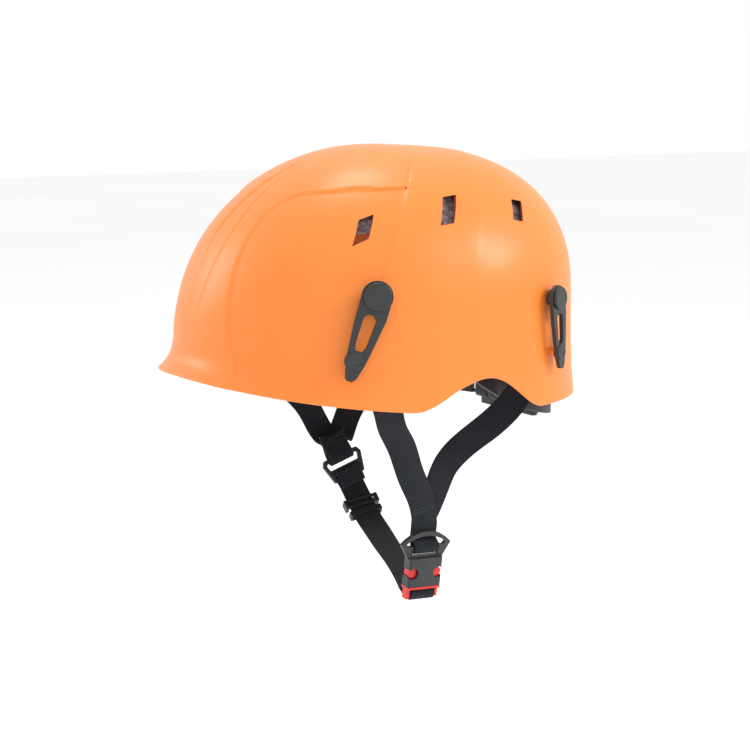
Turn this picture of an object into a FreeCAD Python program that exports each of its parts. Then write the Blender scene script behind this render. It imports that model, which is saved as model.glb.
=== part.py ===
import FreeCAD, Part

import math
import os

import Sketcher
from FreeCAD import Placement, Rotation, Vector

# Climbing helmet, in millimetres. The origin is the middle of the head at headband height,
# under the crown. +Z is up, -Y is the front, +X is the wearer's left.

SIZES = {
    # shell outline and profile
    "front_length": 132, "rear_length": 128.5, "half_width": 107, "crown_height": 115,
    "shell_wall": 2.5, "outline_power": 2.2, "egg_factor": 0.03,
    "equator_front": -6, "equator_rear": 20,
    "profile_front": 2.0, "profile_side": 2.12, "profile_rear": 2.6,
    "brim_flare": 9, "nape_flare": 2.5, "skirt_slope": 0.13, "skirt_bottom": -54,
    "rim_front": -23, "rim_drop": 22, "arch_height": 21, "arch_turn": 97, "arch_span": 20,
    # liner and pads
    "liner_gap": 3, "liner_wall": 20, "liner_edge": 66,
    "crown_pad_wall": 8, "crown_pad_length": 110, "crown_pad_width": 76,
    "brow_pad_wall": 5,
    # clips for a headlamp strap
    "clip_reach": 40.6, "clip_tip": 53, "clip_wall": 3, "clip_standoff": 5.5,
    "clip_eye": 19, "clip_slot": 8, "button_head": 17, "button_wall": 2.4, "rivet_shaft": 6,
    "washer_width": 12, "stud_width": 4.4, "rear_clip_scale": 0.84,
    # webbing and its anchors
    "webbing_width": 18, "webbing_wall": 1.6, "anchor_wall": 2, "anchor_width": 27,
    # headband
    "band_length": 100, "band_width": 79, "band_wall": 2, "band_height": 28, "band_centre": 2,
    "temple_pin": 5, "pin_clearance": 0.06,
    # size adjuster at the nape
    "adjuster_height": -50, "adjuster_depth": 101.5, "housing_width": 62, "housing_tall": 30,
    "housing_deep": 4.3, "cover_wall": 1.6, "gear_module": 1, "gear_teeth": 12,
    "gear_wall": 2.4, "knob_width": 25, "knob_wall": 9, "knob_grips": 14,
    "nape_pad_width": 74, "nape_pad_tall": 26, "nape_pad_wall": 4.6,
    # buckle and strap fittings
    "socket_width": 24, "socket_wall": 9, "ring_width": 36,
    "flange_width": 23.6, "flange_wall": 1.5, "prong_wall": 4.8,
    "slide_long": 6.4, "keeper_long": 4, "fitting_width": 24.4,
}

TOP_REACH = 0.06
DOME_REACHES = (0.06, 0.13, 0.24, 0.37, 0.5, 0.63, 0.75, 0.86, 0.94, 1.0)
SKIRT_STEPS = (0.25, 0.5, 0.75, 1.0)
TURNS = 48
SIDES = {"left": 1, "right": -1}

doc = FreeCAD.newDocument("ClimbingHelmet")
sheet = doc.addObject("Spreadsheet::Sheet", "Sizes")
for row, (alias, value) in enumerate(SIZES.items(), start=1):
    sheet.set(f"A{row}", alias)
    sheet.set(f"B{row}", str(value))
    sheet.setAlias(f"B{row}", alias)
doc.recompute()

nodes = []


def size(alias):
    return float(sheet.get(alias))


def keep(item, node):
    """Marks a document object as one finished sub-part."""
    item.Label = node
    nodes.append(item)
    return item


def block(name, x, y, z):
    """A Part::Box between (low, high) limits written as expressions on the sheet."""
    item = doc.addObject("Part::Box", name)
    for (low, high), side, axis in zip((x, y, z), ("Length", "Width", "Height"), "xyz"):
        item.setExpression(side, f"({high}) - ({low})")
        item.setExpression(f".Placement.Base.{axis}", low)
    return item


def rod(name, radius, low, high, centre=("0", "0"), axis="z"):
    """A Part::Cylinder along an axis; radius, ends and centre are expressions on the sheet."""
    item = doc.addObject("Part::Cylinder", name)
    turns = {"x": Rotation(Vector(0, 1, 0), 90), "y": Rotation(Vector(1, 0, 0), -90),
             "z": Rotation()}
    item.Placement = Placement(Vector(), turns[axis])
    item.setExpression("Radius", radius)
    item.setExpression("Height", f"({high}) - ({low})")
    others = [letter for letter in "xyz" if letter != axis]
    for letter, value in ((axis, low), (others[0], centre[0]), (others[1], centre[1])):
        item.setExpression(f".Placement.Base.{letter}", value)
    return item


def cut(name, base, tool):
    item = doc.addObject("Part::Cut", name)
    item.Base = base
    item.Tool = tool
    return item


def fuse(name, shapes):
    item = doc.addObject("Part::MultiFuse", name)
    item.Shapes = shapes
    item.Refine = True
    return item


def rounded(name, base, radius, chosen=None):
    """A Part::Fillet on the edges that chosen() accepts, or on all of them."""
    doc.recompute()
    item = doc.addObject("Part::Fillet", name)
    item.Base = base
    item.Edges = [(k, radius, radius) for k, edge in enumerate(base.Shape.Edges, start=1)
                  if chosen is None or chosen(edge)]
    return item


def placed(item, place):
    item.Placement = place
    return item


def feature(name, shape, place=None):
    """A shape made with Part's functions, then placed."""
    item = doc.addObject("Part::Feature", name)
    item.Shape = shape
    if place:
        item.Placement = place.multiply(shape.Placement)
    return item


def mirrored(source, name):
    item = doc.addObject("Part::Mirroring", name)
    item.Source = source
    item.Normal = Vector(1, 0, 0)
    item.Base = Vector(0, 0, 0)
    return item


def at(x=0.0, y=0.0, z=0.0, turn=None):
    return Placement(Vector(x, y, z), turn or Rotation())


def unit(vector):
    return vector * (1.0 / vector.Length)


def mix(low, high, share):
    return low + (high - low) * share


def smooth(share):
    share = min(1.0, max(0.0, share))
    return share * share * (3 - 2 * share)


def signed_power(value, power):
    return math.copysign(abs(value) ** power, value)


# ---------------------------------------------------------------- the dome


def rim_height(turn):
    """Height of the shell's edge; turn is 0 at the front and 90 degrees at the wearer's left."""
    degrees = abs(math.degrees(turn))
    degrees = min(degrees, 360 - degrees)
    height = size("rim_front") - size("rim_drop") * smooth(degrees / 110)
    offset = (degrees - size("arch_turn")) / size("arch_span")
    if abs(offset) < 1:
        height += size("arch_height") * 0.5 * (1 + math.cos(math.pi * offset))
    return height


def equator_height(turn):
    ahead = (1 + math.cos(turn)) / 2
    return mix(size("equator_rear"), size("equator_front"), ahead ** 1.5)


def dome_point(turn, reach, drop=None):
    """A point of the outer surface: reach runs 0 to 1 from crown to equator, drop is a height
    on the skirt below it."""
    ahead = (1 + math.cos(turn)) / 2
    across, along = math.sin(turn), math.cos(turn)
    length = size("front_length") if along > 0 else size("rear_length")
    power = 2 / size("outline_power")
    x = size("half_width") * signed_power(across, power) * (1 - size("egg_factor") * along)
    y = -length * signed_power(along, power)
    equator = equator_height(turn)
    if drop is None:
        side = mix(size("profile_rear"), size("profile_front"), ahead)
        side = mix(side, size("profile_side"), across ** 2)
        near_top = smooth(reach / 0.3)
        side = mix(2.2, side, near_top)
        base = mix(0.0, equator, near_top)
        arm = math.sin(reach * math.pi / 2)
        rise = max(0.0, 1 - arm ** side) ** (1 / side)
        return Vector(x * arm, y * arm, base + (size("crown_height") - base) * rise)
    depth = max(0.0, equator - drop)
    share = min(1.15, depth / (equator - rim_height(turn)))
    flare = size("brim_flare") * max(0.0, along) * share ** 3
    flare += size("nape_flare") * max(0.0, -along) * share ** 4
    radius = math.hypot(x, y)
    arm = 1 + flare / radius + size("skirt_slope") * depth / radius * ahead
    return Vector(x * arm, y * arm, drop)


def inset_point(turn, reach, drop, inset):
    """The same point moved inwards along the surface's normal."""
    step = 0.002
    if drop is None:
        here = dome_point(turn, reach)
        down = dome_point(turn, min(reach + step, 1.0)) - dome_point(turn, reach - step)
    else:
        here = dome_point(turn, 1, drop)
        down = dome_point(turn, 1, drop - 0.5) - dome_point(turn, 1, drop + 0.5)
    if drop is None:
        along = dome_point(turn + step, reach) - dome_point(turn - step, reach)
    else:
        along = dome_point(turn + step, 1, drop) - dome_point(turn - step, 1, drop)
    normal = unit(down.cross(along))
    return here - normal * inset, normal


def surface_at(turn_degrees, height):
    """Point and outward normal of the outer surface at a direction and a height."""
    turn = math.radians(turn_degrees)
    if height < equator_height(turn):
        return inset_point(turn, 1, height, 0)
    low, high = 0.05, 1.0
    for _ in range(40):
        middle = (low + high) / 2
        if dome_point(turn, middle).z > height:
            low = middle
        else:
            high = middle
    return inset_point(turn, middle, None, 0)


def dome_solid(inset):
    """The space inside the outer surface moved inwards, open to the skirt's flat bottom."""
    rings = []
    bottom = size("skirt_bottom")
    for reach in DOME_REACHES:
        ring = [inset_point(2 * math.pi * k / TURNS, reach, None, inset)[0] for k in range(TURNS)]
        if reach == TOP_REACH:
            level = sum(point.z for point in ring) / TURNS
            ring = [Vector(point.x, point.y, level) for point in ring]
        rings.append(ring)
    for step in SKIRT_STEPS:
        ring = []
        for k in range(TURNS):
            turn = 2 * math.pi * k / TURNS
            drop = mix(equator_height(turn), bottom, step)
            ring.append(inset_point(turn, 1, drop, inset)[0])
        if step == 1.0:
            ring = [Vector(point.x, point.y, bottom) for point in ring]
        rings.append(ring)
    wires = []
    for ring in rings:
        curve = Part.BSplineCurve()
        curve.interpolate(ring, PeriodicFlag=True)
        wires.append(Part.Wire([curve.toShape()]))
    return Part.makeLoft(wires, True)


def rim_cutter():
    """Everything below the shell's edge, as one slab cut along its side view."""
    turns = [math.radians(step * 180 / 45) for step in range(46)]
    edge = []
    for turn in turns:
        point = dome_point(turn, 1, rim_height(turn))
        edge.append(Vector(0, point.y, point.z))
    front, rear = Vector(0, -170, edge[0].z), Vector(0, 150, edge[-1].z)
    edge = [front] + edge + [rear]
    curve = Part.BSplineCurve()
    curve.interpolate(edge)
    floor = -90
    corners = [rear, Vector(0, rear.y, floor), Vector(0, front.y, floor), front]
    lines = [Part.makeLine(a, b) for a, b in zip(corners, corners[1:])]
    face = Part.Face(Part.Wire([curve.toShape()] + lines))
    face.translate(Vector(-150, 0, 0))
    return face.extrude(Vector(300, 0, 0))


# ---------------------------------------------------------------- frames and webbing


def frame_from(origin, up, outward):
    """A placement whose local Y is up and local Z is outward."""
    y_axis = unit(up)
    z_axis = unit(outward - y_axis * outward.dot(y_axis))
    x_axis = y_axis.cross(z_axis)
    return Placement(origin, Rotation(x_axis, y_axis, z_axis, "ZYX"))


def inside(place, x, y, z):
    return place.multVec(Vector(x, y, z))


def flow(points, count):
    """Evenly spread points on a smooth curve through the route's points."""
    curve = Part.BSplineCurve()
    curve.interpolate(points)
    first, last = curve.FirstParameter, curve.LastParameter
    return [curve.value(mix(first, last, k / (count - 1))) for k in range(count)]


def strip(points, acrosses, width, wall):
    """A band along points, its width lying along the across directions: a closed faceted solid."""
    sections = []
    for k, (point, across) in enumerate(zip(points, acrosses)):
        along = unit(points[min(k + 1, len(points) - 1)] - points[max(k - 1, 0)])
        across = unit(across - along * across.dot(along))
        wide, thick = across * (width / 2), along.cross(across) * (wall / 2)
        sections.append([point - wide - thick, point + wide - thick,
                         point + wide + thick, point - wide + thick])
    facets = []
    for near, far in zip(sections, sections[1:]):
        for k in range(4):
            a, b, c, d = near[k], near[(k + 1) % 4], far[(k + 1) % 4], far[k]
            facets += [(a, b, c), (a, c, d)]
    for end in (sections[0], sections[-1]):
        facets += [(end[0], end[1], end[2]), (end[0], end[2], end[3])]
    faces = [Part.Face(Part.makePolygon([*facet, facet[0]])) for facet in facets]
    solid = Part.Solid(Part.makeShell(faces))
    if solid.Volume < 0:
        solid.reverse()
    return solid


def webbing(path):
    """Webbing along a path of (point, across) pairs."""
    points, acrosses = zip(*path)
    return strip(points, acrosses, size("webbing_width"), size("webbing_wall"))


def local_path(place, points, mirror=False):
    """(up, out) points of a fitting's side view as path entries in the helmet's frame."""
    across = place.Rotation.multVec(Vector(1, 0, 0))
    path = [(place.multVec(Vector(0, up, out)), across) for up, out in points]
    if mirror:
        path = [(flip(point), flip(across)) for point, across in path]
    return path


def flip(vector):
    return Vector(-vector.x, vector.y, vector.z)


def arc(up, out, radius, start, end, count=9):
    """(up, out) points round a bar; angles in degrees from up towards outward."""
    angles = [math.radians(mix(start, end, k / (count - 1))) for k in range(count)]
    return [(up + radius * math.cos(a), out + radius * math.sin(a)) for a in angles]


def span(before, route, after, count, twist=None):
    """Path entries between two fittings, smooth through the route, turning from one across
    direction to the other, or through the twist's (share, across) on the way."""
    points = flow([before[-1][0], *route, after[0][0]], count)
    stops = [(0, before[-1][1]), *([twist] if twist else []), (1, after[0][1])]
    entries = []
    for k, point in enumerate(points):
        share = k / (count - 1)
        near, far = stops[:2] if share <= stops[1][0] else stops[-2:]
        turned = smooth((share - near[0]) / (far[0] - near[0]))
        entries.append((point, unit(near[1] * (1 - turned) + far[1] * turned)))
    return entries[1:-1]


# ---------------------------------------------------------------- shell, liner and pads


CLIP_SITES = {
    "front": {"button": (67.1, 30.4), "stud": (61.5, -5.5), "scale": 1.0},
    "rear": {"button": (121.5, 22.0), "stud": (122.5, -12.1), "scale": size("rear_clip_scale")},
}
# Corners of each vent in side view, as (y, z).
VENTS = {
    "front": ((-62.3, 59.1), (-51.5, 63.6), (-43.7, 77.5), (-53.7, 74.4)),
    "middle": ((-5.6, 69.9), (4.4, 71.0), (14.0, 87.2), (3.8, 86.2)),
    "rear": ((49.9, 70.8), (58.4, 69.2), (64.8, 81.0), (55.9, 82.7)),
}


def clip_place(site):
    button, _ = surface_at(*CLIP_SITES[site]["button"])
    stud, stud_normal = surface_at(*CLIP_SITES[site]["stud"])
    normal = surface_at(*CLIP_SITES[site]["button"])[1] + stud_normal
    return frame_from(button, button - stud, normal)


CLIPS = {site: clip_place(site) for site in CLIP_SITES}


def both_sides(shape):
    return [shape, shape.mirror(Vector(0, 0, 0), Vector(1, 0, 0))]


def vent_cutters():
    cutters = []
    for corners in VENTS.values():
        points = [Vector(50, y, z) for y, z in corners]
        face = Part.Face(Part.makePolygon([*points, points[0]]))
        cutters += both_sides(face.extrude(Vector(75, 0, 0)))
    return cutters


def rivet_holes():
    holes = []
    for site, place in CLIPS.items():
        scale = CLIP_SITES[site]["scale"]
        spots = ((0, size("rivet_shaft")), (-size("clip_reach"), size("stud_width")))
        for up, width in spots:
            hole = Part.makeCylinder(width * scale / 2 + 0.1, 24, Vector(0, up * scale, -12))
            hole.Placement = place.multiply(hole.Placement)
            holes += both_sides(hole)
    return holes


def build_shell():
    shape = dome_solid(0).cut(dome_solid(size("shell_wall"))).cut(rim_cutter())
    keep(feature("Shell", shape.cut(vent_cutters() + rivet_holes())), "outer_shell")


def build_liner():
    top = size("shell_wall") + size("liner_gap")
    block = dome_solid(top).cut(dome_solid(top + size("liner_wall")))
    above = Part.makeBox(400, 400, 200, Vector(-200, -200, size("liner_edge")))
    keep(feature("Liner", block.common(above)), "foam_liner")


def build_crown_pad():
    space = dome_solid(size("shell_wall") + size("liner_gap") + size("liner_wall") + 0.3)
    lower = space.copy()
    lower.translate(Vector(0, 0, -size("crown_pad_wall")))
    rim = Part.Ellipse(Vector(0, size("crown_pad_length") / 2, 0),
                       Vector(size("crown_pad_width") / 2, 0, 0), Vector(0, 0, 0))
    prism = Part.Face(Part.Wire([rim.toShape()])).extrude(Vector(0, 0, 150))
    prism.translate(Vector(0, 0, 40))
    keep(feature("CrownPad", space.common(prism).cut(lower)), "crown_pad")


# ---------------------------------------------------------------- lamp clips and strap anchors


def clip_outline():
    """The clip's face: a round eye, a long frame and a pointed foot."""
    eye, reach, tip = size("clip_eye") / 2, size("clip_reach"), size("clip_tip")
    frame = [Vector(-eye * 0.98, -3), Vector(-eye * 0.9, -reach * 0.45), Vector(-6, -reach),
             Vector(-3.2, -tip + 1.5), Vector(-1.5, -tip), Vector(1.5, -tip), Vector(3.6, -tip + 2.5),
             Vector(6, -reach), Vector(eye * 1.02, -reach * 0.3), Vector(eye * 0.98, -3)]
    return Part.Face(Part.makePolygon([*frame, frame[0]]))


def clip_shape():
    base, wall = size("clip_standoff"), size("clip_wall")
    plate = clip_outline().extrude(Vector(0, 0, wall))
    plate = plate.fuse([Part.makeCylinder(size("clip_eye") / 2, wall),
                        Part.makeCylinder(6.2, wall, Vector(-0.6, -size("clip_reach"), 0))])
    half = size("clip_slot") / 2
    window = [Vector(-half, -14), Vector(-half * 0.9, -31), Vector(-2.5, -34.2), Vector(1.6, -34.2),
              Vector(half * 0.8, -31), Vector(half, -14), Vector(1.6, -11.6), Vector(-1.6, -11.6)]
    window = [point + Vector(0, 0, -1) for point in window]
    window = Part.Face(Part.makePolygon([*window, window[0]])).extrude(Vector(0, 0, wall + 2))
    eye_hole = Part.makeCylinder(size("rivet_shaft") / 2 + 0.08, wall + 2, Vector(0, 0, -1))
    width, depth = size("stud_width") + 0.7, 1.5
    dimple = Part.makeCylinder(width / 2, depth, Vector(0, -size("clip_reach"), 0))
    exit_way = Part.makeCylinder(size("clip_reach") + width / 2, depth, Vector(0, 0, 0),
                                 Vector(0, 0, 1), 40)
    exit_way = exit_way.cut(Part.makeCylinder(size("clip_reach") - width / 2, depth))
    exit_way.rotate(Vector(0, 0, 0), Vector(0, 0, 1), -90)
    plate = plate.cut([window, eye_hole, dimple, exit_way]).removeSplitter()
    plate.translate(Vector(0, 0, base))
    return plate


def build_clips():
    rivets, washers, studs = [], [], []
    for site, place in CLIPS.items():
        scale = CLIP_SITES[site]["scale"]
        base, reach = size("clip_standoff") * scale, size("clip_reach") * scale
        shaft, stud_radius = size("rivet_shaft") * scale / 2, size("stud_width") * scale / 2
        top = base + size("clip_wall") * scale + 0.2
        lever = clip_shape()
        lever.scale(scale)
        clip = feature(f"Clip{site}", lever, place)
        keep(clip, f"{site}_left_clip")
        keep(mirrored(clip, f"Clip{site}Right"), f"{site}_right_clip")
        head = Part.makeCylinder(size("button_head") * scale / 2, size("button_wall") * scale,
                                 Vector(0, 0, top))
        head = head.makeChamfer(0.6, [head.Edges[0]])
        rivet = Part.makeCylinder(shaft, top + 9.2, Vector(0, 0, -9.2)).fuse(
            [head, Part.makeCylinder(shaft + 3, 1.4, Vector(0, 0, -9.2))]).removeSplitter()
        washer = Part.makeCylinder(size("washer_width") * scale / 2, base - 1.1, Vector(0, 0, 0.9))
        washer = washer.cut(Part.makeCylinder(shaft + 0.1, base))
        stud = Part.makeCylinder(stud_radius, base + scale + 2.9, Vector(0, -reach, -2.9))
        stud = stud.fuse(Part.makeCylinder(stud_radius + 1.3, 1.6, Vector(0, -reach, 1.6)))
        for group, shape in ((rivets, rivet), (washers, washer), (studs, stud)):
            shape.Placement = place.multiply(shape.Placement)
            group += both_sides(shape)
        build_anchor(site, place)
    keep(feature("Rivets", Part.makeCompound(rivets)), "clip_rivets")
    keep(feature("Washers", Part.makeCompound(washers)), "rivet_washers")
    keep(feature("Studs", Part.makeCompound(studs)), "clip_studs")


ANCHOR_FACE = -5.4
ANCHOR_SLOT = (-26.0, -22.0)
ANCHOR_FOOT = -30.0


def build_anchor(site, place):
    """A plate behind the shell with a slot that the webbing goes through."""
    wall, half = size("anchor_wall"), size("anchor_width") / 2
    face = ANCHOR_FACE
    outline = [Vector(-8, 8), Vector(-half, -18), Vector(-half, ANCHOR_FOOT),
               Vector(half, ANCHOR_FOOT), Vector(half, -18), Vector(8, 8)]
    plate = Part.Face(Part.makePolygon([*outline, outline[0]])).extrude(Vector(0, 0, wall))
    plate.translate(Vector(0, 0, face - wall))
    boss = Part.makeCylinder(5.5, -face - size("shell_wall") - 0.9, Vector(0, 0, face))
    slot = Part.makeBox(size("webbing_width") + 1.6, ANCHOR_SLOT[1] - ANCHOR_SLOT[0], 10,
                        Vector(-size("webbing_width") / 2 - 0.8, ANCHOR_SLOT[0], face - 5))
    hole = Part.makeCylinder(size("rivet_shaft") / 2 + 0.1, 30, Vector(0, 0, -15))
    shape = plate.fuse(boss).cut([slot, hole])
    anchor = keep(feature(f"Anchor{site}", shape, place), f"{site}_left_anchor")
    keep(mirrored(anchor, f"Anchor{site}Right"), f"{site}_right_anchor")


ANCHOR_LOOP = [(-37, -4.1), (-31, -4.1), (-27.5, -4.1), (-24.2, -4.9), (-23.1, -6.4),
               (-24.2, -8.1), (-27.5, -8.8), (-32, -8.9)]


# ---------------------------------------------------------------- headband and cradle


def ellipse_face(grow, level):
    centre = size("band_centre")
    curve = Part.Ellipse(Vector(0, centre + size("band_length") + grow, level),
                         Vector(size("band_width") + grow, centre, level), Vector(0, centre, level))
    return Part.Face(Part.Wire([curve.toShape()]))


def ellipse_ring(inner, outer, low, high, rear):
    """Part of an elliptical ring in front of y = rear."""
    lift = Vector(0, 0, high - low)
    ring = ellipse_face(outer, low).extrude(lift).cut(ellipse_face(inner, low).extrude(lift))
    return ring.common(Part.makeBox(400, 300 + rear, 200, Vector(-200, -300, -100)))


TEMPLE = (4.0, -4.0)
BAND_LOW = -12.0


def temple_hole(clearance):
    radius = size("temple_pin") / 2 + clearance
    return Part.makeCylinder(radius, 240, Vector(-120, *TEMPLE), Vector(1, 0, 0))


def build_headband():
    wall = size("band_wall")
    high = BAND_LOW + size("band_height")
    band = ellipse_ring(0, wall, BAND_LOW, high, TEMPLE[0] + 11).cut(temple_hole(0.02))
    keep(feature("Headband", band), "headband_front")
    pad = ellipse_ring(-size("brow_pad_wall") - 0.5, -0.5, BAND_LOW + 2, high - 2, -34)
    keep(feature("BrowPad", pad), "brow_pad")
    lug = block("BrowLug", ("-9", "9"), ("Sizes.shell_wall + 1 - Sizes.front_length",
                "Sizes.band_centre - Sizes.band_length - Sizes.band_wall - 0.2"), ("-3", "3"))
    keep(lug, "brow_lug")
    start = inside(CLIPS["front"], 0, -18.5, ANCHOR_FACE - size("anchor_wall") - 0.6)
    inwards = unit(Vector(-start.x, -start.y * 0.4, 0))
    beam = strip([start, start + inwards * 40], [Vector(0, 0, 1)] * 2, 4, 6)
    beam = beam.cut(ellipse_face(wall + 0.2, -50).extrude(Vector(0, 0, 120)))
    hangers = both_sides(beam)
    keep(feature("Hangers", Part.makeCompound(hangers)), "headband_hangers")
    outside = size("band_width") + ARM_OUT + 1
    shaft = Part.makeCylinder(size("temple_pin") / 2, outside + 0.3 + 1 - size("band_width") + 1.3,
                              Vector(size("band_width") - 1.3, *TEMPLE), Vector(1, 0, 0))
    head = Part.makeCylinder(4.5, 1.2, Vector(outside + 0.3, *TEMPLE), Vector(1, 0, 0))
    tail = Part.makeCylinder(4.5, 1.1, Vector(size("band_width") - 1.4, *TEMPLE), Vector(1, 0, 0))
    pins = both_sides(shaft.fuse([head, tail]).removeSplitter())
    keep(feature("TemplePins", Part.makeCompound(pins)), "temple_pins")


ARM_OUT = 3.5
ARM_ROUTE = [(-4, -4), (12, -9), (28, -19), (46, -30), (64, -38)]
ARM_TAIL = [Vector(64.0, 82, -45), Vector(55.0, 97, -49), Vector(49.0, 103, -50),
            Vector(45.0, 104.4, -50)]


def build_arms():
    """A side arm on the temple pin, which flexes round the head to the size adjuster."""
    points = []
    grown_width, grown_length = size("band_width") + ARM_OUT, size("band_length") + ARM_OUT
    for y, z in ARM_ROUTE:
        share = (y - size("band_centre")) / grown_length
        points.append(Vector(grown_width * math.sqrt(1 - share * share), y, z))
    route = flow(points + ARM_TAIL, 26)
    arm = strip(route, [Vector(0, 0, 1)] * len(route), 20, 2).cut(temple_hole(size("pin_clearance")))
    left = keep(feature("LeftArm", arm), "left_arm")
    keep(mirrored(left, "RightArm"), "right_arm")


# ---------------------------------------------------------------- size adjuster


def involute(angle):
    return math.tan(angle) - angle


def pinion_face():
    """Spur gear outline in the XZ plane, a tooth pointing up."""
    module, teeth = size("gear_module"), int(size("gear_teeth"))
    pitch, pressure, backlash = module * teeth / 2, math.radians(20), 0.15
    base, tip, root = pitch * math.cos(pressure), pitch + module, pitch - 1.25 * module
    half = (math.pi * module / 4 - backlash) / pitch + involute(pressure)
    flank = [(root, half)]
    for k in range(6):
        radius = mix(base, tip, k / 5)
        flank.append((radius, half - involute(math.acos(base / radius))))
    points = []
    for tooth in range(teeth):
        middle = math.pi / 2 + 2 * math.pi * tooth / teeth
        sides = [(radius, middle - angle) for radius, angle in flank]
        sides += [(radius, middle + angle) for radius, angle in reversed(flank)]
        points += [Vector(radius * math.cos(a), 0, radius * math.sin(a)) for radius, a in sides]
    return Part.Face(Part.makePolygon([*points, points[0]]))


RACK_INNER, RACK_OUTER = -16.0, 44.2


def rack_face():
    """The upper rack in the XZ plane: teeth pointing down at the pinion."""
    module = size("gear_module")
    pitch_line = module * size("gear_teeth") / 2
    spacing, backlash, slope = math.pi * module, 0.15, math.tan(math.radians(20))
    tip, root = 0.55 * module, 1.25 * module
    points = []
    for k in range(-5, 6):
        middle = (k + 0.5) * spacing
        half = spacing / 4 - backlash
        for share, depth in ((-1, -root), (-1, tip), (1, tip), (1, -root)):
            width = half - slope * depth
            points.append(Vector(middle + share * width, 0, pitch_line - depth))
    points = [point for point in points if RACK_INNER < point.x < 18.5]
    line, back = pitch_line + root, pitch_line + root + 2.2
    points = [Vector(RACK_INNER, 0, line), *points, Vector(RACK_OUTER, 0, line),
              Vector(RACK_OUTER, 0, back), Vector(RACK_INNER, 0, back)]
    return Part.Face(Part.makePolygon([*points, points[0]]))


def build_adjuster():
    depth, gear_wall = size("adjuster_depth"), size("gear_wall")
    place = at(0, 0, size("adjuster_height"))
    rack_y = depth + 1.7
    upper = rack_face().extrude(Vector(0, gear_wall, 0))
    upper.translate(Vector(0, rack_y, 0))
    lower = upper.copy()
    lower.rotate(Vector(0, rack_y, 0), Vector(0, 1, 0), 180)
    keep(feature("LeftRack", upper, place), "left_rack")
    keep(feature("RightRack", lower, place), "right_rack")
    pinion = pinion_face().extrude(Vector(0, gear_wall, 0))
    pinion.translate(Vector(0, rack_y, 0))
    y_axis = Vector(0, 1, 0)
    shaft = Part.makeCylinder(2.4, 9.9, Vector(0, rack_y, 0), y_axis)
    pivot = Part.makeCylinder(1.45, 1.6, Vector(0, rack_y - 1.5, 0), y_axis)
    screw_hole = Part.makeCylinder(1.15, 6, Vector(0, rack_y + 3.9, 0), y_axis)
    pinion = pinion.fuse([shaft, pivot]).cut(screw_hole)
    keep(feature("Pinion", pinion, place), "adjuster_pinion")
    wide = ("-Sizes.housing_width / 2", "Sizes.housing_width / 2")
    tall = ("-Sizes.housing_tall / 2", "Sizes.housing_tall / 2")
    frame = block("HousingBlock", wide,
                  ("Sizes.adjuster_depth", "Sizes.adjuster_depth + Sizes.housing_deep"), tall)
    channel = block("HousingChannel", ("-Sizes.housing_width / 2 - 1", "Sizes.housing_width / 2 + 1"),
                    ("Sizes.adjuster_depth + 1.5", "Sizes.adjuster_depth + 5.5"), ("-9.8", "9.8"))
    bore = rod("HousingBore", "1.5", "Sizes.adjuster_depth - 1", "Sizes.adjuster_depth + 3", axis="y")
    housing = cut("Housing", frame, fuse("HousingHollow", [channel, bore]))
    keep(placed(housing, place), "adjuster_housing")
    plate = block("CoverBlock", wide, ("Sizes.adjuster_depth + Sizes.housing_deep + 0.1",
                  "Sizes.adjuster_depth + Sizes.housing_deep + 0.1 + Sizes.cover_wall"), tall)
    plate = rounded("CoverPlate", plate, 5,
                    lambda edge: abs(edge.tangentAt(edge.FirstParameter).y) > 0.9)
    hole = rod("CoverBore", "2.45", "Sizes.adjuster_depth + 3", "Sizes.adjuster_depth + 9", axis="y")
    keep(placed(cut("Cover", plate, hole), place), "adjuster_cover")
    build_knob(place)
    pad = block("NapePadBlock", ("-Sizes.nape_pad_width / 2", "Sizes.nape_pad_width / 2"),
                ("Sizes.adjuster_depth - 0.3 - Sizes.nape_pad_wall", "Sizes.adjuster_depth - 0.3"),
                ("-Sizes.nape_pad_tall / 2", "Sizes.nape_pad_tall / 2"))
    keep(placed(rounded("NapePad", pad, 2.1), place), "nape_pad")


def knob_sketch(body, name, circles):
    """A sketch in the body's XY plane with circles of (x, radius) expressions."""
    sketch = body.newObject("Sketcher::SketchObject", name)
    for k, (x, radius) in enumerate(circles):
        sketch.addGeometry(Part.Circle(Vector(20 * k, 0, 0), Vector(0, 0, 1), 5 + k), False)
        sketch.addConstraint(Sketcher.Constraint("Radius", k, 5 + k))
        sketch.setExpression(f"Constraints[{3 * k}]", radius)
        sketch.addConstraint(Sketcher.Constraint("DistanceX", -1, 1, k, 3, 20 * k))
        sketch.setExpression(f"Constraints[{3 * k + 1}]", x)
        sketch.addConstraint(Sketcher.Constraint("PointOnObject", k, 3, -1))
    return sketch


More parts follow.
